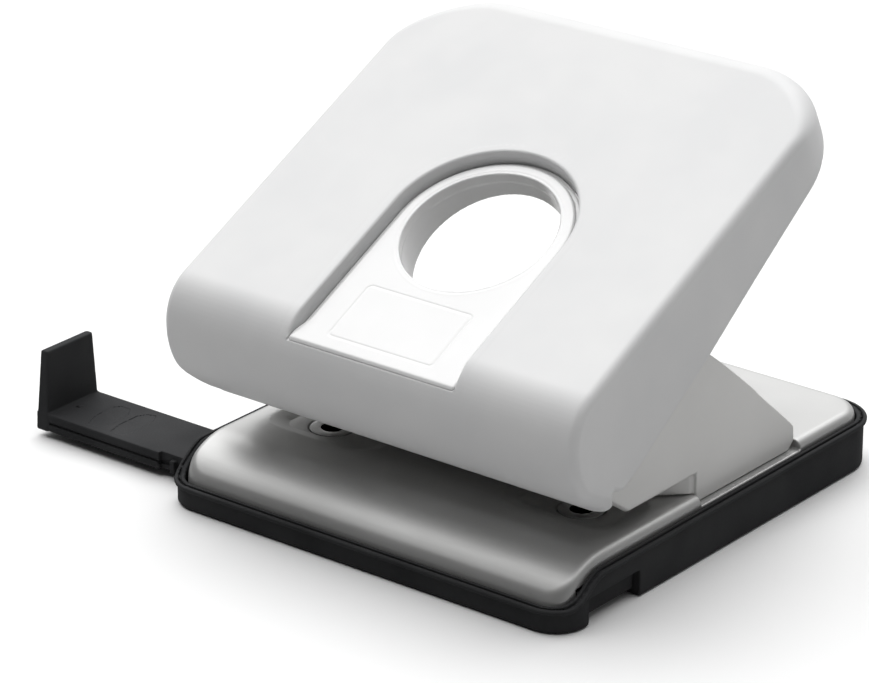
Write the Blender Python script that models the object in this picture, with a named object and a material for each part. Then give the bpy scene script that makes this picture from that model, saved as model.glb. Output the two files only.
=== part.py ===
"""Two-hole desk punch with a sliding paper guide.

Frame: +Z up, +Y away from the user, +X to the right, metres.
Origin: on the desk, under the centre of the chip tray.
The handle is shown raised, the paper guide pulled out to the left.
"""
import math

import bmesh
import bpy
from mathutils import Vector

MM = 0.001

# ---------------------------------------------------------------- driving dimensions (millimetres)
HOLE_PITCH = 80.0          # centre to centre of the two punched holes
PIN_Y = -30.0              # line of the two punch pins

TRAY_HALF_W = 63.8         # chip tray, outer wall
TRAY_FRONT = -69.2
TRAY_REAR = 68.8
TRAY_WALL = 2.0
TRAY_FLOOR = 1.6
TRAY_SIDE_H = 12.9         # rim height along the sides and the rear
TRAY_FRONT_H = 6.4         # rim height along the front
TRAY_FRONT_R = 9.0
TRAY_REAR_R = 12.5
LIP_OUT = 0.8              # bead around the rim
LIP_H = 1.1

TABLE_Z = 15.5             # top of the paper table
SHEET = 1.2                # base plate sheet thickness
BASE_HALF_W = 61.3
BASE_FRONT = -66.6
BASE_REAR = 66.3
BASE_FRONT_R = 7.0
BASE_REAR_R = 10.0
FRONT_ROLL_R = 20.0        # radius of the rolled front of the table
FRONT_ROLL_Y = -49.5       # where the roll starts
BASE_EDGE_R = 2.4
POCKET_L = 36.0            # die pocket, length along X
POCKET_W = 25.0
POCKET_R = 11.0
POCKET_Y = -31.0
POCKET_DEPTH = 1.6
LEDGE_Z = 13.0             # lowered ledge the frame's side plates stand on
LEDGE_Y0, LEDGE_Y1 = -8.9, 34.6

FRAME_HALF_W = 59.3        # outer face of the frame's side plates
PLATE = 2.0
THROAT_TOP = 21.2          # underside of the guide web
THROAT_FRONT = -37.0
STOP_Y = -18.0             # paper stop, 12 mm behind the pins
STEP_Y = -8.6              # rear end of the side openings of the throat

PIVOT_Y, PIVOT_Z = -50.0, 40.0
HANDLE_LIFT = math.radians(25.78)
HANDLE_HALF_W = 64.7
SHELL = 2.5
PLATE_V = 22.9             # handle top face above the pivot, handle pressed
NOSE_U = -12.7             # front of the nose ahead of the pivot
REAR_U = 117.3
REAR_PLAN_R = 25.5
RECESS_X = 1.65            # centre of the recess and of the finger hole
RECESS_U = 40.2
RECESS_R = 26.05           # wall of the recess
PANEL_R = 24.4             # finger panel; a groove is left between it and the wall
PANEL_DEPTH = 2.8
PANEL_T = 1.2
FLANGE_T = 1.4             # wider underside of the panel, filling the recess
HOLE_R = 20.7              # finger hole
COLLAR_T = 1.7
EDGE_R = 3.0               # rounding of the handle's top edges

SHAFT_R = 4.0
BUSH_R = 5.0
ROD_U, ROD_V, ROD_R = 20.0, 2.0, 3.5

PIN_R = 2.75
PIN_HEAD_R = 5.5
PIN_STROKE = 8.5
PIN_BOTTOM = 21.4
PIN_TOP = 46.7
PIN_HEAD_H = 2.5
GUIDE_TOP = 30.0           # top of the pin guide bridges

BAR_X0, BAR_X1 = -118.5, 61.9
BAR_Y0, BAR_Y1 = -58.3, -38.3
BAR_Z0, BAR_Z1 = 1.9, 6.8
STOP_TOP = 24.5
GAP = 0.3

# ---------------------------------------------------------------- helpers


def material(name, rgb, roughness, metallic):
    mat = bpy.data.materials.new(name)
    mat.use_nodes = True
    bsdf = mat.node_tree.nodes["Principled BSDF"]
    bsdf.inputs["Base Color"].default_value = (*rgb, 1.0)
    bsdf.inputs["Roughness"].default_value = roughness
    bsdf.inputs["Metallic"].default_value = metallic
    mat.diffuse_color = (*rgb, 1.0)
    return mat


def arc(cx, cy, r, a0, a1, n):
    """Points on a circle from angle a0 to a1 (degrees)."""
    out = []
    for i in range(n + 1):
        a = math.radians(a0 + (a1 - a0) * i / n)
        out.append((cx + r * math.cos(a), cy + r * math.sin(a)))
    return out


def rounded_rect(x0, x1, y0, y1, r_front, r_rear, n=6):
    """Plan outline, anticlockwise, with its own corner radii at the front (y0) and the rear (y1)."""
    pts = []
    pts += arc(x0 + r_front, y0 + r_front, r_front, 180, 270, n)
    pts += arc(x1 - r_front, y0 + r_front, r_front, 270, 360, n)
    pts += arc(x1 - r_rear, y1 - r_rear, r_rear, 0, 90, n)
    pts += arc(x0 + r_rear, y1 - r_rear, r_rear, 90, 180, n)
    return pts


def clean(pts):
    out = []
    for p in pts:
        if not out or math.hypot(p[0] - out[-1][0], p[1] - out[-1][1]) > 1e-4:
            out.append(p)
    if math.hypot(out[0][0] - out[-1][0], out[0][1] - out[-1][1]) < 1e-4:
        out.pop()
    return out


def prism(name, pts, lo, hi, axis):
    """Closed prism: pts is the outline (mm) in the plane across `axis`, swept from lo to hi along it.
    axis "X": pts are (y, z); axis "Y": pts are (x, z); axis "Z": pts are (x, y)."""
    pts = clean(pts)
    bm = bmesh.new()

    def place(p, h):
        v = {"X": (h, p[0], p[1]), "Y": (p[0], h, p[1]), "Z": (p[0], p[1], h)}[axis]
        return Vector(v) * MM

    face = bm.faces.new([bm.verts.new(place(p, lo)) for p in pts])
    res = bmesh.ops.extrude_face_region(bm, geom=[face])
    new = [g for g in res["geom"] if isinstance(g, bmesh.types.BMVert)]
    step = {"X": Vector((1, 0, 0)), "Y": Vector((0, 1, 0)), "Z": Vector((0, 0, 1))}[axis] * (hi - lo)
    bmesh.ops.translate(bm, verts=new, vec=step * MM)
    bmesh.ops.recalc_face_normals(bm, faces=bm.faces)
    mesh = bpy.data.meshes.new(name)
    bm.to_mesh(mesh)
    bm.free()
    obj = bpy.data.objects.new(name, mesh)
    bpy.context.scene.collection.objects.link(obj)
    return obj


def box(name, x0, x1, y0, y1, z0, z1):
    return prism(name, [(x0, y0), (x1, y0), (x1, y1), (x0, y1)], z0, z1, "Z")


def cyl(name, centre, r, lo, hi, axis, n=32):
    return prism(name, arc(centre[0], centre[1], r, 0, 360, n)[:-1], lo, hi, axis)


def boolean(obj, other, operation):
    """Apply one exact Boolean to obj and remove the tool object."""
    mod = obj.modifiers.new(operation.title(), "BOOLEAN")
    mod.operation = operation
    mod.solver = "EXACT"
    mod.object = other
    graph = bpy.context.evaluated_depsgraph_get()
    mesh = bpy.data.meshes.new_from_object(obj.evaluated_get(graph))
    obj.modifiers.remove(mod)
    old = obj.data
    obj.data = mesh
    mesh.name = obj.name
    bpy.data.meshes.remove(old)
    tool = other.data
    bpy.data.objects.remove(other)
    bpy.data.meshes.remove(tool)
    return obj


def cut(obj, *tools):
    for t in tools:
        boolean(obj, t, "DIFFERENCE")
    return obj


def join(obj, *others):
    for t in others:
        boolean(obj, t, "UNION")
    return obj


def keep(obj, other):
    return boolean(obj, other, "INTERSECT")


def bevel_edges(obj, test, width, segments):
    """Round the edges for which test(edge) is true."""
    bm = bmesh.new()
    bm.from_mesh(obj.data)
    bmesh.ops.dissolve_limit(bm, angle_limit=math.radians(0.5), verts=bm.verts, edges=bm.edges)
    edges = [e for e in bm.edges if len(e.link_faces) == 2 and test(e)]
    bmesh.ops.bevel(bm, geom=edges, offset=width * MM, segments=segments, profile=0.5,
                    affect="EDGES", clamp_overlap=True)
    bmesh.ops.recalc_face_normals(bm, faces=bm.faces)
    bm.to_mesh(obj.data)
    bm.free()
    return obj


def finish(obj, mat, parent=None, local=None, smooth=True):
    """Name, material, shading, and the object's own placement.

    local is the matrix that carries the modelled coordinates into the world. The mesh is moved so
    that the object's origin sits at the parent's origin.
    """
    obj.data.materials.clear()
    obj.data.materials.append(mat)
    if smooth:
        obj.data.shade_smooth()
        obj.data.set_sharp_from_angle(angle=math.radians(32))
    if parent is not None:
        obj.parent = parent
        if local is None:
            obj.data.transform(parent.matrix_world.inverted())
    return obj


def empty(name, location, rotation_x=0.0):
    e = bpy.data.objects.new(name, None)
    e.empty_display_size = 0.01
    e.location = Vector(location) * MM
    e.rotation_euler = (rotation_x, 0.0, 0.0)
    bpy.context.scene.collection.objects.link(e)
    bpy.context.view_layer.update()
    return e


# ---------------------------------------------------------------- scene
for old in list(bpy.data.objects):
    bpy.data.objects.remove(old, do_unlink=True)

BLACK = material("black_plastic", (0.030, 0.031, 0.033), 0.42, 0.0)
STEEL_PAINT = material("silver_painted_steel", (0.42, 0.42, 0.41), 0.34, 0.55)
FRAME_PAINT = material("warm_grey_painted_steel", (0.52, 0.515, 0.50), 0.48, 0.10)
WHITE = material("matte_white_plastic", (0.80, 0.80, 0.79), 0.50, 0.0)
GLOSS_WHITE = material("gloss_white_plastic", (0.90, 0.90, 0.89), 0.25, 0.0)
STEEL = material("bright_steel", (0.62, 0.62, 0.61), 0.28, 1.0)
SPRING = material("spring_steel", (0.45, 0.45, 0.46), 0.32, 1.0)
BRASS = material("sintered_bush", (0.50, 0.40, 0.26), 0.45, 1.0)

tray_hinge = empty("tray_hinge_axis", (0.0, TRAY_REAR, 12.3))
handle_axis = empty("handle_axis", (0.0, PIVOT_Y, PIVOT_Z), HANDLE_LIFT)


# ---------------------------------------------------------------- chip tray
def rim_height(y):
    """Height of the tray rim: low along the front, rising in an S just behind the front corners."""
    t = min(1.0, max(0.0, (y + 66.5) / 13.5))
    return TRAY_FRONT_H + (TRAY_SIDE_H - TRAY_FRONT_H) * t * t * (3 - 2 * t)


def rim_line(offset):
    ys = [-66.5 + 13.5 * i / 9 for i in range(10)]
    return [(y, rim_height(y) + offset) for y in ys]


tray = prism("chip_tray", rounded_rect(-TRAY_HALF_W, TRAY_HALF_W, TRAY_FRONT, TRAY_REAR,
                                       TRAY_FRONT_R, TRAY_REAR_R), 0, TRAY_SIDE_H, "Z")
# bead along the rim
o = LIP_OUT
lip = prism("lip", rounded_rect(-TRAY_HALF_W - o, TRAY_HALF_W + o, TRAY_FRONT - o, TRAY_REAR + o,
                                TRAY_FRONT_R + o, TRAY_REAR_R + o), 0, TRAY_SIDE_H, "Z")
band = prism("band", [(-80, TRAY_FRONT_H - LIP_H)] + rim_line(-LIP_H) + [(80, TRAY_SIDE_H - LIP_H),
             (80, TRAY_SIDE_H + 3), (-80, TRAY_SIDE_H + 3)], -70, 70, "X")
keep(lip, band)
join(tray, lip)
over = prism("over", [(-80, TRAY_FRONT_H)] + rim_line(0.0) + [(-50, TRAY_SIDE_H + 4), (-80, TRAY_SIDE_H + 4)],
             -70, 70, "X")
cut(tray, over)
w = TRAY_WALL
cut(tray, prism("inside", rounded_rect(-TRAY_HALF_W + w, TRAY_HALF_W - w, TRAY_FRONT + w, TRAY_REAR - w,
                                       TRAY_FRONT_R - w, TRAY_REAR_R - w), TRAY_FLOOR, 40, "Z"))
# raised channel the guide bar runs through, open underneath
CHANNEL_Y0, CHANNEL_Y1, CHANNEL_Z = -58.6, -38.0, 7.1
join(tray, box("channel", -TRAY_HALF_W + 0.6, TRAY_HALF_W - 0.6, CHANNEL_Y0 - 1.5, CHANNEL_Y1 + 1.5,
               0, CHANNEL_Z + 1.5))
cut(tray, box("run", -80, 80, CHANNEL_Y0, CHANNEL_Y1, -5, CHANNEL_Z))
for x in (-34, 34):
    join(tray, box("strap", x - 6, x + 6, CHANNEL_Y0 - 1.0, CHANNEL_Y1 + 1.0, 0, 1.55))
finish(tray, BLACK, tray_hinge)

# ---------------------------------------------------------------- base plate (paper table)


def base_profile(inset):
    """Side outline of the table: flat top, rolled front, straight rear."""
    r = FRONT_ROLL_R - inset
    cy, cz = FRONT_ROLL_Y, TABLE_Z - FRONT_ROLL_R
    front = BASE_FRONT + inset
    end = math.degrees(math.acos((front - cy) / r))
    pts = [(BASE_REAR - inset, TABLE_Z - inset)]
    pts += arc(cy, cz, r, 90, end, 10)
    pts += [(front, 3.4), (BASE_REAR - inset, 3.4)]
    if inset:
        pts[-2] = (front, -5)
        pts[-1] = (BASE_REAR - inset, -5)
    return pts


def base_plan(inset):
    return rounded_rect(-BASE_HALF_W + inset, BASE_HALF_W - inset, BASE_FRONT + inset, BASE_REAR - inset,
                        BASE_FRONT_R - inset, BASE_REAR_R - inset)


def is_wall(f):
    return abs(f.normal.z) < 0.02 and f.calc_center_median().y > (BASE_FRONT + 0.1) * MM


def roof_edge(e):
    a, b = e.link_faces
    if min(a.normal.z, b.normal.z) > 0.2 or max(a.normal.z, b.normal.z) < 0.35:
        return False
    return abs(a.normal.z) < 0.02 or abs(b.normal.z) < 0.02


def base_solid(name):
    body = prism(name, base_profile(0), -BASE_HALF_W, BASE_HALF_W, "X")
    keep(body, prism("plan", base_plan(0), -10, 40, "Z"))
    return bevel_edges(body, roof_edge, BASE_EDGE_R, 3)


base = base_solid("base_plate")
inner = prism("inner", base_profile(SHEET), -BASE_HALF_W, BASE_HALF_W, "X")
keep(inner, prism("plan_in", base_plan(SHEET), -10, 40, "Z"))
cut(base, inner)
# the side and rear walls stop just inside the tray rim
cut(base, box("trim", -80, 80, -60.6, 80, -5, 9.6))
# ledges beside the table on which the side plates of the frame stand
for s in (-1, 1):
    xs = sorted((s * 55.8, s * (BASE_HALF_W - 0.02)))
    ledge = box("ledge", xs[0], xs[1], LEDGE_Y0 - SHEET, LEDGE_Y1 + SHEET, LEDGE_Z - SHEET, TABLE_Z - 0.4)
    join(base, keep(ledge, base_solid("clip")))
    xs = sorted((s * 57.0, s * 70))
    cut(base, box("notch", xs[0], xs[1], LEDGE_Y0, LEDGE_Y1, LEDGE_Z, 30))
# die pockets
for s in (-1, 1):
    cx = s * HOLE_PITCH / 2
    l, w2, r = POCKET_L / 2, POCKET_W / 2, POCKET_R

    def pocket(grow):
        return rounded_rect(cx - l - grow, cx + l + grow, POCKET_Y - w2 - grow, POCKET_Y + w2 + grow,
                            r + grow, r + grow)
    floor = TABLE_Z - POCKET_DEPTH
    join(base, prism("cup", pocket(0.9), floor - SHEET, TABLE_Z - 0.5, "Z"))
    cut(base, prism("pocket", pocket(0), floor, 40, "Z"))
    cut(base, cyl("die_seat", (cx, PIN_Y), 6.3, 0, 40, "Z", 36))
RIVETS = {"front_left": (-30, -8), "front_right": (30, -8), "rear_left": (-30, 22), "rear_right": (30, 22)}
for x, y in RIVETS.values():
    cut(base, cyl("rivet_hole", (x, y), 2.4, 0, 40, "Z", 20))
finish(base, STEEL_PAINT)

# ---------------------------------------------------------------- punch frame
lobe = 7.0
pv = Vector((PIVOT_Y, PIVOT_Z))
corner = Vector((-43.0, 25.5))
d = (pv - corner).length
direction = math.atan2(pv.y - corner.y, pv.x - corner.x) + math.asin(lobe / d)
tangent_angle = math.degrees(direction) + 90  # normal of the front edge at the pivot lobe
side = [(THROAT_FRONT, THROAT_TOP), tuple(corner)]
side += arc(pv.x, pv.y, lobe, tangent_angle, -5, 12)
side += [(-39.6, 38.0), (-37.6, 36.9), (-26.4, 36.9), (-25.2, 38.0), (-22.0, 43.5), (-13.0, 52.6),
         (-9.5, 54.2), (-6.4, 53.8), (16.0, 35.6), (16.8, 34.4), (33.4, 20.3), (34.1, 19.0), (34.3, 15.4),
         (31.8, LEDGE_Z + GAP), (STEP_Y, LEDGE_Z + GAP), (STEP_Y, THROAT_TOP)]
frame = prism("punch_frame", side, FRAME_HALF_W - PLATE, FRAME_HALF_W, "X")
join(frame, prism("web", [(THROAT_FRONT + 0.05, THROAT_TOP), (-42.6, 25.2), (-42.0, 27.0),
                          (-36.4, THROAT_TOP + PLATE), (STEP_Y, THROAT_TOP + PLATE), (STEP_Y, THROAT_TOP)],
                  -FRAME_HALF_W + 1, FRAME_HALF_W - 1, "X"))
join(frame, prism("side_left", side, -FRAME_HALF_W, -FRAME_HALF_W + PLATE, "X"))
# paper stop with splayed ends
stop = [(-58.3, -8.6), (-57.0, -8.6), (-50.0, -16.0), (50.0, -16.0), (57.0, -8.6), (58.3, -8.6),
        (58.3, -10.2), (50.8, STOP_Y), (-50.8, STOP_Y), (-58.3, -10.2)]
join(frame, prism("stop", stop, TABLE_Z + GAP, THROAT_TOP + 1, "Z"))
join(frame, prism("floor", [(-50.2, -16.6), (50.2, -16.6), (57.8, -8.7), (57.8, 30), (-57.8, 30), (-57.8, -8.7)],
                  TABLE_Z + GAP, TABLE_Z + GAP + PLATE, "Z"))
cut(frame, cyl("bush_hole", (PIVOT_Y, PIVOT_Z), BUSH_R + GAP, -80, 80, "X", 32))
for s in (-1, 1):
    cut(frame, cyl("pin_hole", (s * HOLE_PITCH / 2, PIN_Y), PIN_R + GAP, 18, 26, "Z", 28))
for x, y in RIVETS.values():
    cut(frame, cyl("rivet_hole", (x, y), 2.4, 10, 20, "Z", 20))
finish(frame, FRAME_PAINT)

for key, (x, y) in RIVETS.items():
    top = TABLE_Z + GAP + PLATE + GAP
    under = TABLE_Z - SHEET - GAP
    rivet = cyl("frame_rivet_" + key, (x, y), 4.0, top, top + 1.8, "Z", 24)
    bevel_edges(rivet, lambda e, t=top: all(v.co.z > (t + 1.7) * MM for v in e.verts), 1.2, 3)
    join(rivet, cyl("shank", (x, y), 2.1, under - 0.8, top + 0.5, "Z", 20))
    join(rivet, cyl("tail", (x, y), 3.4, under - 1.3, under, "Z", 20))
    finish(rivet, STEEL)

# ---------------------------------------------------------------- pins, guides, springs, dies
for s, word in ((-1, "left"), (1, "right")):
    cx = s * HOLE_PITCH / 2
    axis = (cx, PIN_Y)
    web_top = THROAT_TOP + PLATE
    # guide bridge: an inverted U standing on the web
    guide = box("pin_guide_" + word, cx - 12, cx + 12, PIN_Y - 6.5, PIN_Y + 6.5, web_top + GAP, GUIDE_TOP)
    cut(guide, box("under", cx - 9, cx + 9, PIN_Y - 10, PIN_Y + 10, web_top - 2, GUIDE_TOP - 2.2))
    bevel_edges(guide, lambda e, x0=cx: all(v.co.z > (GUIDE_TOP - 0.1) * MM and abs(v.co.x - x0 * MM) > 0.011
                                            for v in e.verts), 1.5, 3)
    cut(guide, cyl("bore", axis, PIN_R + GAP, 10, 60, "Z", 28))
    finish(guide, STEEL)
    # washer under the spring
    washer = cyl("spring_washer_" + word, axis, 6.0, GUIDE_TOP + GAP, GUIDE_TOP + GAP + 0.8, "Z", 28)
    cut(washer, cyl("bore", axis, PIN_R + GAP, 10, 60, "Z", 28))
    finish(washer, STEEL)
    # punch pin with head and hollow-ground tip
    pin_axis = empty("pin_axis_" + word, (cx, PIN_Y, PIN_TOP))
    pin = cyl("punch_pin_" + word, axis, PIN_R, PIN_BOTTOM, PIN_TOP - 0.6, "Z", 28)
    head = cyl("head", axis, PIN_HEAD_R, PIN_TOP - PIN_HEAD_H, PIN_TOP, "Z", 28)
    bevel_edges(head, lambda e: all(v.co.z > (PIN_TOP - 0.05) * MM for v in e.verts), 0.6, 2)
    join(pin, head)
    cut(pin, prism("grind", [(PIN_Y - 4, PIN_BOTTOM - 1), (PIN_Y + 4, PIN_BOTTOM - 1), (PIN_Y, PIN_BOTTOM + 1.1)],
                   cx - 6, cx + 6, "X"))
    finish(pin, STEEL, pin_axis)
    # coil spring between the washer and the head
    z0 = GUIDE_TOP + GAP + 0.8 + GAP
    z1 = PIN_TOP - PIN_HEAD_H - GAP
    wire, mean, turns, around, sides = 0.45, 4.35, 4.0, 18, 7
    n = int(turns * around)
    bm = bmesh.new()
    rings = []
    for i in range(n + 1):
        f = i / n
        a = 2 * math.pi * turns * f
        z = z0 + wire + (z1 - z0 - 2 * wire) * f
        rad = Vector((math.cos(a), math.sin(a), 0))
        ring = []
        for j in range(sides):
            b = 2 * math.pi * j / sides
            p = Vector((cx, PIN_Y, z)) + rad * (mean + wire * math.cos(b)) + Vector((0, 0, wire * math.sin(b)))
            ring.append(bm.verts.new(p * MM))
        rings.append(ring)
    for a, b in zip(rings, rings[1:]):
        for j in range(sides):
            bm.faces.new((a[j], a[(j + 1) % sides], b[(j + 1) % sides], b[j]))
    bm.faces.new(rings[0])
    bm.faces.new(list(reversed(rings[-1])))
    bmesh.ops.recalc_face_normals(bm, faces=bm.faces)
    mesh = bpy.data.meshes.new("return_spring_" + word)
    bm.to_mesh(mesh)
    bm.free()
    spring = bpy.data.objects.new("return_spring_" + word, mesh)
    bpy.context.scene.collection.objects.link(spring)
    finish(spring, SPRING)
    # die ring set in the pocket floor, flanged underneath
    floor = TABLE_Z - POCKET_DEPTH
    die = cyl("die_bush_" + word, axis, 6.0, floor - 3.2, floor, "Z", 32)
    join(die, cyl("flange", axis, 7.6, floor - 3.2, floor - SHEET - GAP, "Z", 32))
    cut(die, cyl("bore", axis, PIN_R + GAP, 0, 40, "Z", 28))
    finish(die, STEEL)

# ---------------------------------------------------------------- pivot
for s, word in ((-1, "left"), (1, "right")):
    lo, hi = sorted((s * (FRAME_HALF_W - PLATE - GAP - 1.1), s * (FRAME_HALF_W - PLATE - GAP)))
    bush = cyl("pivot_bush_" + word, (PIVOT_Y, PIVOT_Z), 6.6, lo, hi, "X", 28)
    lo, hi = sorted((s * (FRAME_HALF_W - PLATE - GAP - 0.5), s * FRAME_HALF_W))
    join(bush, cyl("barrel", (PIVOT_Y, PIVOT_Z), BUSH_R, lo, hi, "X", 28))
    cut(bush, cyl("bore", (PIVOT_Y, PIVOT_Z), SHAFT_R + GAP, -80, 80, "X", 28))
    finish(bush, BRASS)

# ---------------------------------------------------------------- handle, modelled flat and then lifted
# In this block y is measured from the pivot along the handle's top, z up from the pivot.


# lower edge of the side flanges, from behind the chin to the rear
FLANGE = [(-2.6, -9.0), (-1.0, -9.0), (4.5, -8.7), (9.0, -8.2), (14.0, -7.2), (18.0, -6.6), (24.3, -5.5), (30.0, -4.8),
          (37.6, -3.6), (42.8, -2.6), (67.0, 2.0), (96.0, 6.9), (REAR_U, 10.9)]
CHIN = [(-4.9, -14.2), (-3.4, -15.0)]
CHIN_CORNER_R = 6.0


def handle_profile(inset):
    """Side outline of the handle's top and nose: flat top, rounded nose, chin sloping back under the nose."""
    pts = [(REAR_U - inset, PLATE_V - inset)]
    pts += arc(NOSE_U + 13.6, PLATE_V - 13.6, 13.6 - inset, 90, 150, 7)
    pts += arc(NOSE_U + 20.87, PLATE_V - 17.8, 22.0 - inset, 150, 222, 7)[1:]
    return pts


outer = handle_profile(0) + CHIN + FLANGE


def plan_outline(inset):
    w3 = HANDLE_HALF_W - inset
    r = REAR_PLAN_R - inset
    rear = REAR_U - inset
    pts = [(-w3, -40.0), (w3, -40.0)]
    pts += arc(w3 - r, rear - r, r, 0, 90, 9)
    pts += arc(-w3 + r, rear - r, r, 90, 180, 9)
    return pts


def shell_body(name):
    body = prism(name, outer, -HANDLE_HALF_W, HANDLE_HALF_W, "X")
    keep(body, prism("plan", plan_outline(0), -60, 60, "Z"))

    def rounded(e):
        a, b = e.link_faces
        wall = [abs(f.normal.z) < 0.02 and (abs(f.normal.x) > 0.9 or f.normal.y > 0.05) for f in (a, b)]
        if wall[0] == wall[1]:
            return False
        f = b if wall[0] else a
        return f.normal.z > 0.3 or f.normal.y < -0.3
    bevel_edges(body, rounded, EDGE_R, 3)
    # the chin curves up into the side flanges
    low, r = CHIN[-1][1], CHIN_CORNER_R
    front = arc(-HANDLE_HALF_W + r, low + r, r, 180, 270, 6) + arc(HANDLE_HALF_W - r, low + r, r, 270, 360, 6)
    keep(body, prism("front", front + [(HANDLE_HALF_W + 1, low + r), (HANDLE_HALF_W + 1, 40),
                                 (-HANDLE_HALF_W - 1, 40), (-HANDLE_HALF_W - 1, low + r)], -60, 150, "Y"))
    return body


shell = shell_body("handle_shell")
hollow = handle_profile(SHELL) + [(-3.9, -9.8), (-3.2, -12.0), (-3.2, -30.0), (REAR_U - SHELL, -30.0)]
hollow = prism("hollow", hollow, -HANDLE_HALF_W + SHELL, HANDLE_HALF_W - SHELL, "X")
keep(hollow, prism("plan_in", plan_outline(SHELL), -60, 60, "Z"))
cut(shell, hollow)


def arch(r, nose_end):
    return [(RECESS_X - r, nose_end), (RECESS_X + r, nose_end)] + arc(RECESS_X, RECESS_U, r, 0, 180, 20)


PANEL_V = PLATE_V - PANEL_DEPTH      # top of the recessed panel
UNDER_V = PANEL_V - PANEL_T          # floor of the groove
SKIRT_V = UNDER_V - FLANGE_T - GAP
BEHIND_NOSE = -4.0
skirt = prism("skirt", arch(RECESS_R + 1.6, -30), SKIRT_V, PLATE_V - 0.6, "Z")
keep(skirt, shell_body("clip"))
join(shell, skirt)
cut(shell, prism("recess", arch(RECESS_R, -60), UNDER_V - GAP, 60, "Z"))
cut(shell, prism("recess_low", arch(RECESS_R, BEHIND_NOSE - GAP), SKIRT_V - 1, UNDER_V, "Z"))
# bosses for the pivot shaft and for the press rod, on the inside of each flange
for s in (-1, 1):
    lo, hi = sorted((s * 59.9, s * (HANDLE_HALF_W - 1.5)))
    join(shell, cyl("pivot_boss", (0, 0), 7.2, lo, hi, "X", 28))
    join(shell, cyl("rod_boss", (ROD_U, ROD_V), 5.6, lo, hi, "X", 28))
    lo, hi = sorted((s * 50, s * 63.0))
    cut(shell, cyl("pivot_seat", (0, 0), SHAFT_R + GAP, lo, hi, "X", 28))
    cut(shell, cyl("rod_seat", (ROD_U, ROD_V), ROD_R + GAP, lo, hi, "X", 28))
finish(shell, WHITE, handle_axis, local=True)

insert = prism("handle_insert", arch(PANEL_R, -60), UNDER_V, PANEL_V, "Z")
keep(insert, shell_body("clip2"))
join(insert, prism("wide", arch(RECESS_R - GAP, BEHIND_NOSE), UNDER_V - FLANGE_T, UNDER_V + 0.01, "Z"))
collar = cyl("collar", (RECESS_X, RECESS_U), HOLE_R + COLLAR_T, 0, PANEL_V - 0.6, "Z", 48)
# the collar reaches deepest at the front, just above the press rod
cut(collar, prism("below", [(10, -5), (80, -5), (80, 16.2), (24.1, 6.1), (10, 6.1)], -40, 40, "X"))
join(insert, collar)
cut(insert, cyl("finger_hole", (RECESS_X, RECESS_U), HOLE_R, 0, 60, "Z", 48))
finish(insert, GLOSS_WHITE, handle_axis, local=True)

shaft = cyl("pivot_shaft", (0, 0), SHAFT_R, -62.7, 62.7, "X", 28)
bevel_edges(shaft, lambda e: abs(abs(e.verts[0].co.x) - abs(e.verts[1].co.x)) < 1e-6
            and abs(e.verts[0].co.x - e.verts[1].co.x) < 1e-6, 0.5, 1)
finish(shaft, STEEL, handle_axis, local=True)
rod = cyl("press_rod", (ROD_U, ROD_V), ROD_R, -62.7, 62.7, "X", 28)
bevel_edges(rod, lambda e: abs(e.verts[0].co.x - e.verts[1].co.x) < 1e-6, 0.5, 1)
finish(rod, STEEL, handle_axis, local=True)

# ---------------------------------------------------------------- paper guide
guide_axis = empty("guide_axis", (BAR_X0, (BAR_Y0 + BAR_Y1) / 2, BAR_Z0))
guide_axis.parent = tray_hinge
guide_axis.matrix_parent_inverse = tray_hinge.matrix_world.inverted()
bpy.context.view_layer.update()
bar = box("paper_guide", BAR_X0 + 0.4, BAR_X1, BAR_Y0, BAR_Y1, BAR_Z0, BAR_Z1)
# the part that runs inside the tray is narrower at the front
cut(bar, box("jog", -75.0, 80, BAR_Y0 - 5, BAR_Y0 + 1.2, 0, 20))
# groove along the front edge
cut(bar, box("groove", -114, 80, BAR_Y0 - 1, BAR_Y0 + 0.9, 3.3, 4.4))
cut(bar, box("groove2", -75.5, 80, BAR_Y0 - 1, BAR_Y0 + 2.0, 3.3, 4.4))
# upright stop: tapered wall
up = prism("upright", [(BAR_Y0, BAR_Z0), (BAR_Y1, BAR_Z0), (BAR_Y1 - 1.7, STOP_TOP), (BAR_Y0 + 0.7, STOP_TOP)],
           BAR_X0, -114.3, "X")
up2 = prism("wedge", [(BAR_X0, -80), (-114.3, -80), (-114.3, 0), (BAR_X0, 0)], 0, 40, "Z")
keep(up, up2)
bm = bmesh.new()
bm.from_mesh(up.data)
for v in bm.verts:
    if v.co.z > (STOP_TOP - 0.5) * MM and v.co.x < -0.116:
        v.co.x = -0.1166
bm.to_mesh(up.data)
bm.free()
join(bar, up)
# rounded foot under the end of the bar
foot = prism("foot", arc(-48.3, 3.0, 2.4, 180, 360, 10) + [(-45.9, 4.0), (-50.7, 4.0)], -116.6, -113.6, "X")
join(bar, foot)
finish(bar, BLACK, guide_axis)
bpy.context.view_layer.update()
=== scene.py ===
"""Looks of the desk hole punch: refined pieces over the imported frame, materials, light, camera."""
import math

import bmesh
import bpy
import numpy as np
from mathutils import Matrix, Vector


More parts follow.
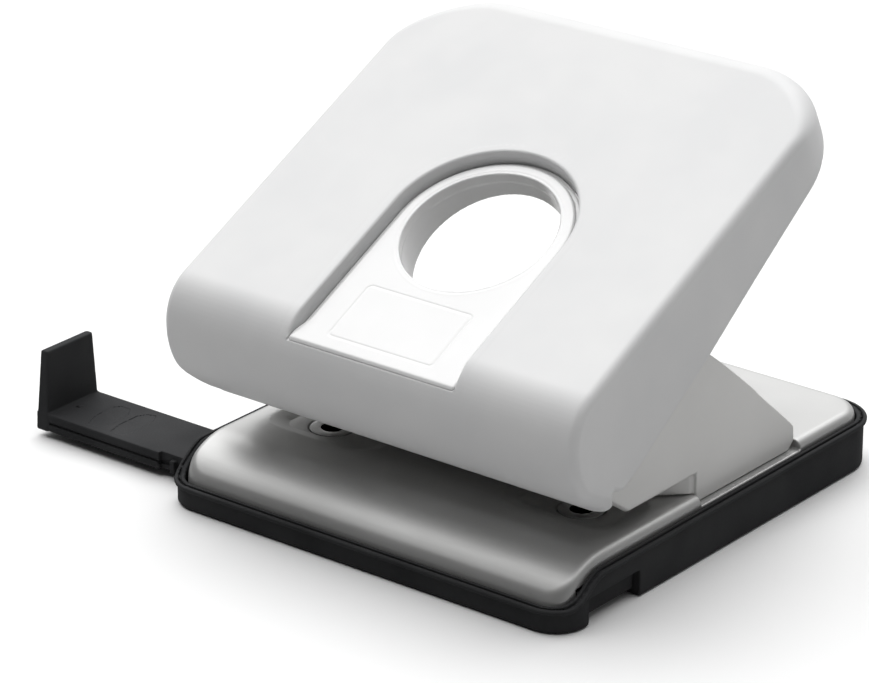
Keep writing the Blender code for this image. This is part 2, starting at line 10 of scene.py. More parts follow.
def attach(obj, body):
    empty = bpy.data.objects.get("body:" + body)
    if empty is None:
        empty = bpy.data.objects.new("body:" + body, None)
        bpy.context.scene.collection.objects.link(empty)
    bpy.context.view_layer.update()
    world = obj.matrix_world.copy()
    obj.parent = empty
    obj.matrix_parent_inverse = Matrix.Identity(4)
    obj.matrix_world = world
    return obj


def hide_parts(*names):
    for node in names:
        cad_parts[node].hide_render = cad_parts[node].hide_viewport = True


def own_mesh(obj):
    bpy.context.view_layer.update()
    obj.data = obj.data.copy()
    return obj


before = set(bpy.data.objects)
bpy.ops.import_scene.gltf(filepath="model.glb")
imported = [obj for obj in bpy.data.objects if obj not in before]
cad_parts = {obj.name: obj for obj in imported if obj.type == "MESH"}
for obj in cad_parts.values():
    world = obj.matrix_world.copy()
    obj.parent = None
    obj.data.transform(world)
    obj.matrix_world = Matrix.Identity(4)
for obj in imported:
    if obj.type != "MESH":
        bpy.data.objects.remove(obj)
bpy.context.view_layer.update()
bpy.context.scene.view_settings.view_transform = "Standard"
MM = 0.001

# ------------------------------------------------------------------ sizes shared with the CAD (mm)
PIN_X, PIN_Y = 40.0, -30.0
TABLE_Z = 15.5
PIVOT_Y, PIVOT_Z = -50.0, 40.0
LIFT = math.radians(25.78)
HALF_W = 64.7
PLATE_V = 22.9
NOSE_U = -12.7
REAR_U = 117.3
SHELL = 2.5
RECESS_X, RECESS_U = 1.65, 40.2
RECESS_R, PANEL_R, HOLE_R = 26.05, 24.4, 20.7
PANEL_V = PLATE_V - 2.8
UNDER_V = PANEL_V - 1.2


# ------------------------------------------------------------------ shapes as distance fields
# A field takes arrays of coordinates in millimetres and gives a signed distance, negative inside.

def step01(t):
    t = np.clip(t, 0.0, 1.0)
    return t * t * (3 - 2 * t)


def inter(a, b, r=0.0):
    """Intersection with the convex edge rounded to radius r."""
    if np.isscalar(r) and r <= 0:
        return np.maximum(a, b)
    return np.minimum(-r, np.maximum(a, b)) + np.hypot(np.maximum(a + r, 0), np.maximum(b + r, 0))


def union(a, b, r=0.0):
    """Union with the concave edge filled to radius r."""
    if r <= 0:
        return np.minimum(a, b)
    return np.maximum(r, np.minimum(a, b)) - np.hypot(np.maximum(r - a, 0), np.maximum(r - b, 0))


def minus(a, b, r=0.0):
    return inter(a, -b, r)


def slab(a, lo, hi):
    return np.abs(a - (lo + hi) / 2) - (hi - lo) / 2


def rect(a, b, a0, a1, b0, b1, r_low=0.0, r_high=None):
    """Rounded rectangle, with its own corner radius at the low and at the high end of b."""
    r_high = r_low if r_high is None else r_high
    ca, cb = (a0 + a1) / 2, (b0 + b1) / 2
    r = np.where(b < cb, r_low, r_high)
    qa = np.abs(a - ca) - (a1 - a0) / 2 + r
    qb = np.abs(b - cb) - (b1 - b0) / 2 + r
    return np.minimum(np.maximum(qa, qb), 0) + np.hypot(np.maximum(qa, 0), np.maximum(qb, 0)) - r


def block(X, Y, Z, x0, x1, y0, y1, z0, z1, r=0.0):
    qx = np.abs(X - (x0 + x1) / 2) - (x1 - x0) / 2 + r
    qy = np.abs(Y - (y0 + y1) / 2) - (y1 - y0) / 2 + r
    qz = np.abs(Z - (z0 + z1) / 2) - (z1 - z0) / 2 + r
    out = np.sqrt(np.maximum(qx, 0) ** 2 + np.maximum(qy, 0) ** 2 + np.maximum(qz, 0) ** 2)
    return out + np.minimum(np.maximum(np.maximum(qx, qy), qz), 0) - r


def polygon(pts):
    """Distance to a closed outline in a plane."""
    pts = [tuple(map(float, p)) for p in pts]
    keep = [p for i, p in enumerate(pts) if math.dist(p, pts[i - 1]) > 1e-6]

    def f(a, b):
        a, b = np.broadcast_arrays(a, b)
        shape = a.shape
        a, b = a.ravel(), b.ravel()
        best = np.full(a.shape, 1e12)
        inside = np.zeros(a.shape, bool)
        for (ax, ay), (bx, by) in zip(keep, keep[1:] + keep[:1]):
            ex, ey = bx - ax, by - ay
            wx, wy = a - ax, b - ay
            t = np.clip((wx * ex + wy * ey) / (ex * ex + ey * ey), 0, 1)
            best = np.minimum(best, (wx - t * ex) ** 2 + (wy - t * ey) ** 2)
            if abs(ey) > 1e-9:
                crosses = (ay <= b) != (by <= b)
                inside ^= crosses & (wx < wy * ex / ey)
        d = np.sqrt(best)
        return np.where(inside, -d, d).reshape(shape)
    return f


def arc(cx, cy, r, a0, a1, n):
    return [(cx + r * math.cos(math.radians(a0 + (a1 - a0) * i / n)),
             cy + r * math.sin(math.radians(a0 + (a1 - a0) * i / n))) for i in range(n + 1)]


def soften(pts, rounds=3):
    """Corner cutting on an open line, ends kept."""
    for _ in range(rounds):
        out = [pts[0]]
        for (ax, ay), (bx, by) in zip(pts, pts[1:]):
            out += [(ax * .75 + bx * .25, ay * .75 + by * .25), (ax * .25 + bx * .75, ay * .25 + by * .75)]
        pts = out + [pts[-1]]
    return pts


CORNERS = [(i, j, k) for i in (0, 1) for j in (0, 1) for k in (0, 1)]
EDGES = [(a, b) for a in CORNERS for b in CORNERS if a < b and sum(abs(p - q) for p, q in zip(a, b)) == 1]


def value(f, P):
    return f(P[:, 0], P[:, 1], P[:, 2])


def gradient(f, P, e, v=None):
    """Slope of the field: one-sided where its value v is given, else central."""
    g = np.empty_like(P)
    for k in range(3):
        d = np.zeros(3)
        d[k] = e
        g[:, k] = (value(f, P + d) - v) / e if v is not None else (value(f, P + d) - value(f, P - d)) / (2 * e)
    return g


def merge_flat(P, G, index, quads, edge, axis, flip, blocks=(16, 4)):
    """Joins square blocks of faces that lie in one plane across a grid axis into single faces."""
    left = np.zeros(len(quads), bool)
    for ax in range(3):
        others = [k for k in range(3) if k != ax]
        level = (np.abs(G[:, others]) < 2e-3).all(1)
        q = quads
        span = P[q, ax].max(1) - P[q, ax].min(1)
        left |= (axis == ax) & level[q].all(1) & (span < 1e-3)
    polys, corners = [], []
    for B in blocks:
        for ax in range(3):
            o1, o2 = [k for k in range(3) if k != ax]
            ids = np.flatnonzero(left & (axis == ax))
            if not len(ids):
                continue
            key = np.stack([flip[ids].astype(int), edge[ids, ax], edge[ids, o1] // B, edge[ids, o2] // B], 1)
            uniq, inv, cnt = np.unique(key, axis=0, return_inverse=True, return_counts=True)
            inv = inv.ravel()
            lo = np.full(len(uniq), np.inf)
            hi = np.full(len(uniq), -np.inf)
            np.minimum.at(lo, inv, P[quads[ids, 0], ax])
            np.maximum.at(hi, inv, P[quads[ids, 0], ax])
            good = (cnt == B * B) & (hi - lo < 1e-3)
            left[ids[good[inv]]] = False
            done = ids[good[inv]]
            quads[done, 0] = -1
            for fl, layer, k1, k2 in uniq[good]:
                a0, c0 = k1 * B - 1, k2 * B - 1
                run = [(a0 + t, c0) for t in range(B)] + [(a0 + B, c0 + t) for t in range(B)]
                run += [(a0 + B - t, c0 + B) for t in range(B)] + [(a0, c0 + B - t) for t in range(B)]
                cell = [0, 0, 0]
                cell[ax] = layer
                loop = []
                for p, r in run:
                    cell[o1], cell[o2] = p, r
                    loop.append(index[cell[0], cell[1], cell[2]])
                corners += [loop[0], loop[B], loop[2 * B], loop[3 * B]]
                polys.append(loop[::-1] if fl else loop)
    rest = quads[quads[:, 0] >= 0]
    needed = np.zeros(len(P), bool)
    needed[rest.ravel()] = True
    needed[corners] = True
    polys = [[v for v in loop if needed[v]] for loop in polys]
    return rest, polys


def contour(name, f, lo, hi, h, place=None, normal_step=0.12):
    """Mesh of the surface f = 0 on a grid of pitch h: a surface net whose points are then moved onto the
    surface, with flat areas merged and the field's own direction as the shading normal."""
    axes = [np.arange(a - h * 1.37, b + h * 2.1, h) for a, b in zip(lo, hi)]
    nx, ny, nz = map(len, axes)
    F = f(axes[0][:, None, None], axes[1][None, :, None], axes[2][None, None, :])
    F = np.ascontiguousarray(np.broadcast_to(F, (nx, ny, nz))).astype(np.float64)
    inside = F < 0
    count = np.zeros((nx - 1, ny - 1, nz - 1), np.int8)
    for i, j, k in CORNERS:
        count += inside[i:nx - 1 + i, j:ny - 1 + j, k:nz - 1 + k]
    cells = np.argwhere((count > 0) & (count < 8))
    index = np.full(count.shape, -1, np.int32)
    index[tuple(cells.T)] = np.arange(len(cells))
    P = np.zeros((len(cells), 3))
    hits = np.zeros(len(cells))
    for a, b in EDGES:
        ca, cb = cells + np.array(a), cells + np.array(b)
        fa, fb = F[tuple(ca.T)], F[tuple(cb.T)]
        m = (fa < 0) != (fb < 0)
        t = np.where(m, fa / np.where(m, fa - fb, 1), 0)[:, None]
        P[m] += (ca + t * (cb - ca))[m]
        hits[m] += 1
    P = P / hits[:, None] * h + np.array([ax[0] for ax in axes])
    start = P.copy()
    G = np.zeros_like(P)
    live = np.arange(len(P))
    for _ in range(5):
        p = P[live]
        v = value(f, p)
        g = gradient(f, p, 0.01, v)
        G[live] = g
        p = p - (v / np.maximum((g * g).sum(1), 0.2))[:, None] * g
        off = p - start[live]
        far = np.linalg.norm(off, axis=1)
        over = far > 0.8 * h
        p[over] = start[live][over] + off[over] * (0.8 * h / far[over])[:, None]
        P[live] = p
        live = live[np.abs(v) > 2e-5]
        if not len(live):
            break
    quads, edges, kinds, flips = [], [], [], []
    for ax in range(3):
        sl0 = [slice(None)] * 3
        sl1 = [slice(None)] * 3
        sl0[ax], sl1[ax] = slice(0, -1), slice(1, None)
        where = np.argwhere(inside[tuple(sl0)] != inside[tuple(sl1)])
        o1, o2 = [k for k in range(3) if k != ax]
        d1, d2 = np.zeros(3, int), np.zeros(3, int)
        d1[o1], d2[o2] = 1, 1
        q = np.stack([index[tuple((where - d1 - d2).T)], index[tuple((where - d2).T)],
                      index[tuple(where.T)], index[tuple((where - d1).T)]], 1)
        first = inside[tuple(where.T)]
        flip = first if ax == 1 else ~first
        quads.append(q)
        edges.append(where)
        kinds.append(np.full(len(where), ax))
        flips.append(flip)
    quads, edges = np.concatenate(quads), np.concatenate(edges)
    kinds, flips = np.concatenate(kinds), np.concatenate(flips)
    rest_flip = flips.copy()
    marked = quads.copy()
    rest, polys = merge_flat(P, G, index, marked, edges, kinds, flips)
    keep = marked[:, 0] >= 0
    rest = quads[keep]
    rest[rest_flip[keep]] = rest[rest_flip[keep]][:, ::-1]
    used = np.zeros(len(P), bool)
    used[rest.ravel()] = True
    loops = np.concatenate([np.array(p, int) for p in polys]) if polys else np.zeros(0, int)
    used[loops] = True
    new_id = np.cumsum(used) - 1
    Q = P[used]
    all_loops = new_id[np.concatenate([rest.ravel(), loops])]
    sizes = np.concatenate([np.full(len(rest), 4), np.array([len(p) for p in polys], int)]).astype(int)
    mesh = bpy.data.meshes.new(name)
    g = gradient(f, Q, normal_step)
    g /= np.maximum(np.linalg.norm(g, axis=1), 1e-9)[:, None]
    M = np.array(place if place is not None else Matrix.Identity(4), float)
    W = (Q @ M[:3, :3].T + M[:3, 3]) * MM
    N = g @ M[:3, :3].T
    mesh.vertices.add(len(Q))
    mesh.vertices.foreach_set("co", W.astype(np.float32).ravel())
    mesh.loops.add(len(all_loops))
    mesh.loops.foreach_set("vertex_index", all_loops.astype(np.int32))
    mesh.polygons.add(len(sizes))
    mesh.polygons.foreach_set("loop_start", np.concatenate([[0], np.cumsum(sizes)[:-1]]).astype(np.int32))
    mesh.update(calc_edges=True)
    mesh.polygons.foreach_set("use_smooth", [True] * len(mesh.polygons))
    mesh.normals_split_custom_set_from_vertices(N.tolist())
    obj = bpy.data.objects.new(name, mesh)
    bpy.context.scene.collection.objects.link(obj)
    return obj


def lathe(name, outline, centre, axis="Z", n=64, place=None):
    """Turned piece: outline is a closed line of (radius, height) in mm."""
    bm = bmesh.new()
    rings = []
    for r, z in outline:
        ring = []
        for i in range(n):
            a = 2 * math.pi * i / n
            if r < 1e-9 and i:
                ring.append(ring[0])
                continue
            p = (r * math.cos(a), r * math.sin(a), z)
            if axis == "X":
                p = (p[2], p[0], p[1])
            ring.append(bm.verts.new((Vector(p) + Vector(centre)) * MM))
        rings.append(ring)
    for a, b in zip(rings, rings[1:] + rings[:1]):
        if len(set(a)) == 1 and len(set(b)) == 1:
            continue
        for i in range(n):
            j = (i + 1) % n
            vs = []
            for v in (a[i], a[j], b[j], b[i]):
                if v not in vs:
                    vs.append(v)
            if len(vs) > 2:
                bm.faces.new(vs)
    bmesh.ops.recalc_face_normals(bm, faces=bm.faces)
    mesh = bpy.data.meshes.new(name)
    bm.to_mesh(mesh)
    bm.free()
    mesh.shade_smooth()
    mesh.set_sharp_from_angle(angle=math.radians(38))
    obj = bpy.data.objects.new(name, mesh)
    bpy.context.scene.collection.objects.link(obj)
    if place is not None:
        mesh.transform(place)
    return obj


def fillet(outline, r, n=4):
    """Rounds every corner of a closed (radius, height) outline."""
    out = []
    m = len(outline)
    for i, p in enumerate(outline):
        a, b = Vector(outline[i - 1]), Vector(outline[(i + 1) % m])
        p = Vector(p)
        if p.x < 1e-9:
            out.append(tuple(p))
            continue
        da, db = a - p, b - p
        k = min(r, da.length * 0.45, db.length * 0.45)
        s, e = p + da.normalized() * k, p + db.normalized() * k
        for t in range(n + 1):
            t /= n
            q = s * (1 - t) ** 2 + p * 2 * t * (1 - t) + e * t * t
            out.append(tuple(q))
    return out


# ------------------------------------------------------------------ materials
def new_material(name):
    mat = bpy.data.materials.new(name)
    mat.use_nodes = True
    nt = mat.node_tree
    bsdf = nt.nodes["Principled BSDF"]
    return mat, nt, bsdf


def node(nt, kind, **values):
    n = nt.nodes.new(kind)
    for k, v in values.items():
        if k in n.inputs.keys():
            n.inputs[k].default_value = v
        else:
            setattr(n, k, v)
    return n


def noise(nt, coord, scale, detail=3.0, rough=0.55, stretch=None):
    vec = coord
    if stretch:
        mp = node(nt, "ShaderNodeMapping")
        mp.inputs["Scale"].default_value = stretch
        nt.links.new(coord, mp.inputs["Vector"])
        vec = mp.outputs["Vector"]
    t = node(nt, "ShaderNodeTexNoise")
    t.inputs["Scale"].default_value = scale
    t.inputs["Detail"].default_value = detail
    t.inputs["Roughness"].default_value = rough
    nt.links.new(vec, t.inputs["Vector"])
    return t.outputs["Fac"]


def ramp(nt, fac, stops):
    r = node(nt, "ShaderNodeValToRGB")
    el = r.color_ramp.elements
    el[0].position, el[0].color = stops[0][0], (*stops[0][1], 1)
    el[1].position, el[1].color = stops[-1][0], (*stops[-1][1], 1)
    for p, c in stops[1:-1]:
        e = el.new(p)
        e.color = (*c, 1)
    nt.links.new(fac, r.inputs["Fac"])
    return r.outputs["Color"]


def to_range(nt, fac, lo, hi, a=0.0, b=1.0):
    m = node(nt, "ShaderNodeMapRange")
    m.inputs["From Min"].default_value = a
    m.inputs["From Max"].default_value = b
    m.inputs["To Min"].default_value = lo
    m.inputs["To Max"].default_value = hi
    nt.links.new(fac, m.inputs["Value"])
    return m.outputs["Result"]


def bump(nt, bsdf, height, strength, distance):
    b = node(nt, "ShaderNodeBump")
    b.inputs["Strength"].default_value = strength
    b.inputs["Distance"].default_value = distance
    nt.links.new(height, b.inputs["Height"])
    nt.links.new(b.outputs["Normal"], bsdf.inputs["Normal"])
    return b


def moulded(name, dark, light, rough_lo, rough_hi, grain, depth, coat=0.0, specular=0.5):
    """Injection-moulded plastic: fine eroded grain, slow mottling of colour and gloss."""
    mat, nt, bsdf = new_material(name)
    coord = node(nt, "ShaderNodeTexCoord").outputs["Object"]
    slow = noise(nt, coord, 45.0, 2.0)
    fine = noise(nt, coord, grain, 4.0, 0.6)
    nt.links.new(ramp(nt, slow, [(0.35, dark), (0.65, light)]), bsdf.inputs["Base Color"])
    nt.links.new(to_range(nt, fine, rough_lo, rough_hi, 0.3, 0.7), bsdf.inputs["Roughness"])
    bsdf.inputs["Specular IOR Level"].default_value = specular
    bsdf.inputs["Coat Weight"].default_value = coat
    bsdf.inputs["Coat Roughness"].default_value = 0.08
    bump(nt, bsdf, fine, 0.5, depth)
    return mat


def metal(name, dark, light, rough_lo, rough_hi, metallic, streak=(1, 40, 40), scale=60.0, depth=0.000004, coat=0.0):
    """Drawn, ground or satin metal: fine streaks along one direction."""
    mat, nt, bsdf = new_material(name)
    coord = node(nt, "ShaderNodeTexCoord").outputs["Object"]
    lines = noise(nt, coord, scale, 4.0, 0.7, streak)
    slow = noise(nt, coord, 30.0, 2.0)
    nt.links.new(ramp(nt, slow, [(0.3, dark), (0.7, light)]), bsdf.inputs["Base Color"])
    nt.links.new(to_range(nt, lines, rough_lo, rough_hi, 0.25, 0.75), bsdf.inputs["Roughness"])
    bsdf.inputs["Metallic"].default_value = metallic
    bsdf.inputs["Coat Weight"].default_value = coat
    bsdf.inputs["Coat Roughness"].default_value = 0.12
    bump(nt, bsdf, lines, 0.35, depth)
    return mat


WHITE = moulded("satin_white_plastic", (0.66, 0.662, 0.665), (0.69, 0.69, 0.69), 0.42, 0.52, 2600.0, 0.00001)
GLOSS = moulded("polished_white_plastic", (0.70, 0.70, 0.70), (0.73, 0.73, 0.73), 0.18, 0.24, 2600.0, 0.000002, coat=0.4)
BLACK = moulded("black_eroded_plastic", (0.030, 0.0305, 0.032), (0.042, 0.0425, 0.044), 0.62, 0.80, 2200.0, 0.00003,
                specular=0.07)
SILVER = metal("satin_silver_sheet", (0.47, 0.47, 0.465), (0.53, 0.53, 0.525), 0.40, 0.48, 0.65, (1, 30, 30), 80.0)
PAINT = metal("warm_grey_paint", (0.68, 0.677, 0.665), (0.72, 0.717, 0.705), 0.38, 0.48, 0.25, (1, 1, 1), 900.0, 0.000008)
BRIGHT = metal("bright_steel", (0.60, 0.60, 0.59), (0.68, 0.68, 0.67), 0.18, 0.30, 1.0, (30, 30, 1), 90.0)
GROUND = metal("ground_steel", (0.55, 0.55, 0.55), (0.63, 0.63, 0.63), 0.14, 0.26, 1.0, (30, 30, 1), 120.0)
WIRE = metal("spring_wire", (0.40, 0.40, 0.41), (0.52, 0.52, 0.53), 0.24, 0.36, 1.0, (1, 1, 1), 800.0)
BRONZE = metal("sintered_bronze", (0.40, 0.30, 0.17), (0.52, 0.40, 0.24), 0.42, 0.58, 1.0, (1, 1, 1), 2500.0, 0.00001)


def dress(obj, mat, body, slot, *replaced):
    obj.data.materials.clear()
    obj.data.materials.append(mat)
    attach(obj, body)
    if replaced:
        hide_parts(*replaced)
    return obj


# ------------------------------------------------------------------ handle, in its own (x, u, v)
TILT = Matrix.Translation(Vector((0, PIVOT_Y, PIVOT_Z))) @ Matrix.Rotation(LIFT, 4, "X")


def nose_line(inset):
    pts = [(160.0, PLATE_V - inset)]
    pts += arc(NOSE_U + 13.6, PLATE_V - 13.6, 13.6 - inset, 90, 150, 24)
    pts += arc(NOSE_U + 20.87, PLATE_V - 17.8, 22.0 - inset, 150, 222, 24)[1:]
    return pts


FLANGE = [(-1.0, -9.0), (4.5, -8.7), (9.0, -8.2), (14.0, -7.2), (18.0, -6.6), (24.3, -5.5), (30.0, -4.8), (37.6, -3.6),
          (42.8, -2.6), (67.0, 2.0), (96.0, 6.9), (117.3, 10.9), (160.0, 18.9)]
chin = [(-7.2, -11.7), (-5.6, -13.5), (-4.4, -14.8), (-3.4, -15.0), (-2.6, -13.8), (-2.6, -9.0)]
side_outline = polygon(nose_line(0) + soften(chin + FLANGE, 2))
inner_outline = polygon(nose_line(SHELL) + [(-3.9, -9.8), (-3.2, -12.0), (-3.2, -60.0), (160.0, -60.0)])
FU = np.array([p[0] for p in FLANGE])
FV = np.array([p[1] for p in FLANGE])


def handle_body(x, u, v):
    P = side_outline(u, v)
    Q = rect(x, u, -HALF_W, HALF_W, -200.0, REAR_U, 0.0, 25.5)
    r_top = 2.4 + 5.0 * step01((u - 90.0) / 22.0)
    w = step01((v - np.interp(u, FU, FV) - 1.5) / 5.0)
    # the nose turns into the sides with a larger sweep towards the chin
    low = step01((3.0 - v) / 9.0) * step01((0.0 - u) / 4.0)
    rp = (0.8 + (r_top - 0.8) * w) * (1 - low) + 4.4 * low
    rq = rp * (1 + 0.6 * low)
    f = inter(P / rp, Q / rq, 1.0) * rp
    g = step01(-u / 3.5)
    rx, rv = 6.0 + 8.0 * g, 6.0 + 1.5 * g
    corner = np.hypot(np.maximum(np.abs(x) - HALF_W + rx, 0) / rx, np.maximum(rv - 15.0 - v, 0) / rv)
    return np.maximum(f, (corner - 1.0) * rv)


def arch_field(x, u, r):
    return np.where(u > RECESS_U, np.hypot(x - RECESS_X, u - RECESS_U), np.abs(x - RECESS_X)) - r


def ledge_v(u):
    """Underside of the panel, thinning out to the nose."""
    return UNDER_V + 0.5 * step01((-4.2 - u) / 2.4)


def handle_field(x, u, v):
    outer = handle_body(x, u, v)
    hollow = inter(inner_outline(u, v), rect(x, u, -HALF_W + SHELL, HALF_W - SHELL, -200.0, REAR_U - SHELL, 0.0,
                                             25.5 - SHELL), 1.6)
    f = minus(outer, hollow, 0.45)
    A = arch_field(x, u, RECESS_R)
    skirt_v = UNDER_V - 1.7
    skirt = inter(np.maximum(np.maximum(A - 1.6, -A), skirt_v - v), outer + 0.6, 0.0)
    f = union(f, skirt, 0.8)
    # recess, its upper edge rounded
    f = inter(f, -np.maximum(A, ledge_v(u) - 0.05 - v), 0.8 * step01((v - UNDER_V - 0.6) / 1.2))
    # bosses for the shaft and the press rod
    ax = np.abs(x)
    for cu, cv, r in ((0.0, 0.0, 7.2), (20.0, 2.0, 5.6)):
        d = np.hypot(u - cu, v - cv)
        f = union(f, inter(d - r, slab(ax, 59.9, HALF_W - 1.5), 0.4), 0.6)
    f = np.maximum(f, -np.maximum(np.hypot(u, v) - 4.3, ax - 63.0))
    f = np.maximum(f, -np.maximum(np.hypot(u - 20.0, v - 2.0) - 3.8, ax - 63.0))
    return f


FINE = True
cover = contour("handle_cover", handle_field, (-HALF_W, -13.9, -15.2), (HALF_W, REAR_U, PLATE_V),
                0.55 if FINE else 0.9, TILT)
dress(cover, WHITE, "handle", "white_plastic", "handle_shell")


def panel_field(x, u, v):
    outer = handle_body(x, u, v)
    top = inter(inter(outer, v - PANEL_V, 0.2), arch_field(x, u, PANEL_R + (RECESS_R - 0.12 - PANEL_R) * step01((0.5 - u) / 6.0)),
                0.7)
    # plain framed field, a fine shallow line
    d = np.hypot(x - RECESS_X, u - RECESS_U)
    line = np.minimum(np.abs(rect(x, u, -14.55, 17.85, -3.5, 14.7, 1.2)), np.abs(d - HOLE_R - 0.8))
    top = top + 0.11 * step01(1 - line / 0.5) * step01((v - PANEL_V + 1.0) / 0.8)
    f = np.maximum(top, ledge_v(u) - v)
    wide = np.maximum(arch_field(x, u, RECESS_R - 0.25), -4.0 - u)
    f = union(f, inter(wide, slab(v, UNDER_V - 1.4, UNDER_V), 0.2), 0.15)
    low = 6.1 + np.maximum(0.0, 0.1807 * (u - 24.1))
    f = union(f, inter(slab(d, HOLE_R, HOLE_R + 1.7), np.maximum(low - v, v - PANEL_V + 0.6), 0.35), 0.8)
    return minus(f, d - HOLE_R, 0.5)


panel = contour("finger_panel", panel_field, (-24.3, -8.5, 6.0), (27.6, 66.2, 20.2), 0.35 if FINE else 0.6, TILT)
dress(panel, GLOSS, "handle", "gloss_white_plastic", "handle_insert")

shaft = lathe("pivot_shaft_turned", fillet([(0, -62.7), (4.0, -62.7), (4.0, 62.7), (0, 62.7)], 0.5), (0, 0, 0), "X", 48)
shaft.data.transform(Matrix.Translation(TILT.to_translation() * MM) @ TILT.to_3x3().to_4x4())
dress(shaft, BRIGHT, "handle", "bright_steel", "pivot_shaft")
rod = lathe("press_rod_turned", fillet([(0, -62.7), (3.5, -62.7), (3.5, 62.7), (0, 62.7)], 0.5), (0, 20.0, 2.0), "X", 48)
rod.data.transform(Matrix.Translation(TILT.to_translation() * MM) @ TILT.to_3x3().to_4x4())
dress(rod, BRIGHT, "handle", "bright_steel", "press_rod")


# ------------------------------------------------------------------ table sheet
def table_outline():
    pts = [(90.0, TABLE_Z)]
    cy, cz, r = -49.5, TABLE_Z - 20.0, 20.0
    end = math.degrees(math.acos((-66.6 - cy) / r))
    pts += arc(cy, cz, r, 90, end, 40)
    pts += [(-66.6, -30.0), (90.0, -30.0)]
    return pts


table_side = polygon(table_outline())
RIVETS = {"front_left": (-30, -8), "front_right": (30, -8), "rear_left": (-30, 22), "rear_right": (30, 22)}


def table_outer(x, y, z):
    f = inter(table_side(y, z), rect(x, y, -61.3, 61.3, -66.6, 66.3, 7.0, 10.0), 2.4)
    for s in (-1, 1):
        p = rect(x, y, s * 37.5 - 18.0, s * 37.5 + 18.0, -41.3, -17.5, 8.0)
        f = minus(f, np.maximum(p, TABLE_Z - 1.6 * np.clip(-p / 4.6, 0.0, 1.0) - z), 0.25)
        ledge = np.maximum(rect(s * x, y, 57.0, 75.0, -8.9, 34.6, 0.8), 13.0 - z)
        f = minus(f, ledge, 0.3)
    return f


def table_field(x, y, z):
    o = table_outer(x, y, z)
    f = inter(o, -(o + 1.2), 0.25)
    f = inter(f, 3.4 - z, 0.25)
    f = inter(f, -np.maximum(-60.6 - y, z - 9.6), 0.25)
    for s in (-1, 1):
        f = inter(f, 6.3 - np.hypot(x - s * PIN_X, y - PIN_Y), 0.25)
    for rx, ry in RIVETS.values():
        f = np.maximum(f, 2.4 - np.hypot(x - rx, y - ry))
    return f


table = contour("table_sheet", table_field, (-61.3, -66.6, 3.4), (61.3, 66.3, TABLE_Z), 0.5 if FINE else 0.8)
dress(table, SILVER, "base", "silver_painted_steel", "base_plate")


# ------------------------------------------------------------------ chip tray
def rim(y):
    return 6.4 + 6.5 * step01((y + 66.5) / 13.5)


def tray_field(x, y, z):
    h = rim(y)
    slope = 1.0 / np.sqrt(1 + (6.5 * 1.5 / 13.5) ** 2 * np.clip(np.where((y > -66.5) & (y < -53), 1, 0), 0, 1))
    over = (z - h) * slope
    Q = rect(x, y, -63.8, 63.8, -69.2, 68.8, 9.0, 12.5)
    wall = inter(inter(Q, -z, 0.8), over, 0.45)
    bead = inter(Q - 0.8, np.maximum(over, -over - 1.1), 0.4)
    f = union(wall, bead, 0.35)
    inside = np.maximum(rect(x, y, -61.8, 61.8, -67.2, 66.8, 7.0, 10.5), 1.6 - z)
    run_out = block(x, y, z, -63.2, 63.2, -60.1, -36.5, 0.0, 8.6, 0.3)
    f = minus(f, inside, 0.4)
    # fine groove along the top of the rim
    f = np.maximum(f, -np.maximum(np.abs(Q + 0.55) - 0.3, -over - 0.45))
    f = union(f, run_out, 0.4)
    f = minus(f, block(x, y, z, -90, 90, -58.6, -38.0, -6, 7.1, 0.4), 0.3)
    for sx in (-34, 34):
        f = union(f, block(x, y, z, sx - 6, sx + 6, -59.6, -37.0, 0, 1.55, 0.3), 0.2)
    return np.maximum(f, -z)


tray = contour("chip_tray_moulding", tray_field, (-64.6, -70, 0), (64.6, 69.6, 12.9), 0.5 if FINE else 0.8)
dress(tray, BLACK, "tray", "black_plastic", "chip_tray")

# ------------------------------------------------------------------ pressed frame
pv, corner, lobe = Vector((PIVOT_Y, PIVOT_Z)), Vector((-43.0, 25.5)), 7.0
tangent = math.degrees(math.atan2(pv.y - corner.y, pv.x - corner.x) + math.asin(lobe / (pv - corner).length)) + 90
side_pts = [(-37.0, 21.2), tuple(corner)] + arc(pv.x, pv.y, lobe, tangent, -5, 24)
side_pts += soften([(-39.6, 38.0), (-37.6, 36.9), (-26.4, 36.9), (-25.2, 38.0), (-22.0, 43.5), (-13.0, 52.6),
                    (-9.5, 54.2), (-6.4, 53.8), (16.0, 35.6), (16.8, 34.4), (33.4, 20.3), (34.1, 19.0), (34.3, 15.4)], 2)
side_pts += [(31.8, 13.3), (-8.6, 13.3), (-8.6, 21.2)]
plate_outline = polygon(side_pts)
web_outline = polygon([(-36.95, 21.2), (-42.6, 25.2), (-42.0, 27.0), (-36.4, 23.2), (-8.6, 23.2), (-8.6, 21.2)])
stop_outline = polygon([(-58.3, -8.6), (-57.0, -8.6), (-50.0, -16.0), (50.0, -16.0), (57.0, -8.6), (58.3, -8.6),
                        (58.3, -10.2), (50.8, -18.0), (-50.8, -18.0), (-58.3, -10.2)])
floor_outline = polygon([(-50.2, -16.6), (50.2, -16.6), (57.8, -8.7), (57.8, 30), (-57.8, 30), (-57.8, -8.7)])


